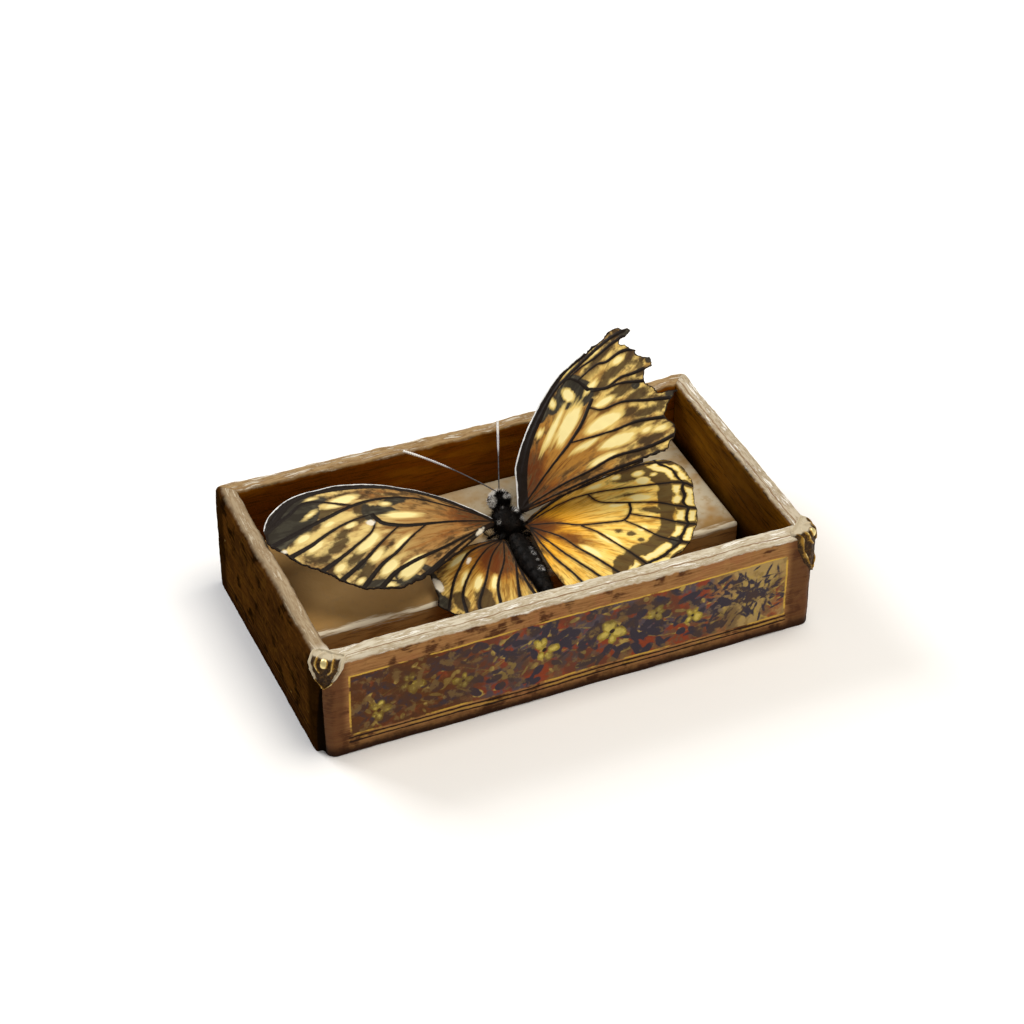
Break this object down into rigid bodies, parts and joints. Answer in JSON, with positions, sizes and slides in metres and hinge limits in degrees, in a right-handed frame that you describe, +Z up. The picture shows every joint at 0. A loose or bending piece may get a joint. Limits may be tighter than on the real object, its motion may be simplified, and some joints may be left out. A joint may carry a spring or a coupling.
{
  "type": "butterfly display box",
  "caption": "Worn open tray with a decorated front, holding a spread butterfly on a cream pad, its right forewing raised and torn.",
  "frame": {"origin": "bottom centre of the whole, on the surface that it rests on", "axes": "+X along the tray's length, -Y the decorated front, +Z up"},
  "size_m": [0.1136, 0.0648, 0.0478],
  "materials": {
    "board_card": "brown millboard, bare and rubbed",
    "wall_leather": "brown leather-papered board with a pale worn rim, a gilt frame and a printed floral band",
    "pad_paper": "cream paper top over a raw brown edge",
    "cap_gilt": "tarnished gilt metal",
    "body_fur": "black furry chitin with white specks",
    "wing_scales": "cream to orange scales between dark veins, charcoal tip",
    "antenna_chitin": "dark brown horn-like chitin, pale at the club"
  },
  "bodies": {
    "root": {"bottom_board": "board_card", "front_wall": "wall_leather", "back_wall": "wall_leather", "left_wall": "wall_leather", "right_wall": "wall_leather", "mounting_pad": "pad_paper", "corner_cap_left": "cap_gilt", "corner_cap_right": "cap_gilt", "head": "body_fur", "thorax": "body_fur", "abdomen": "body_fur", "forewing_left": "wing_scales", "forewing_right": "wing_scales", "hindwing_left": "wing_scales", "hindwing_right": "wing_scales", "antenna_left": "antenna_chitin", "antenna_right": "antenna_chitin"}
  },
  "joints": []
}
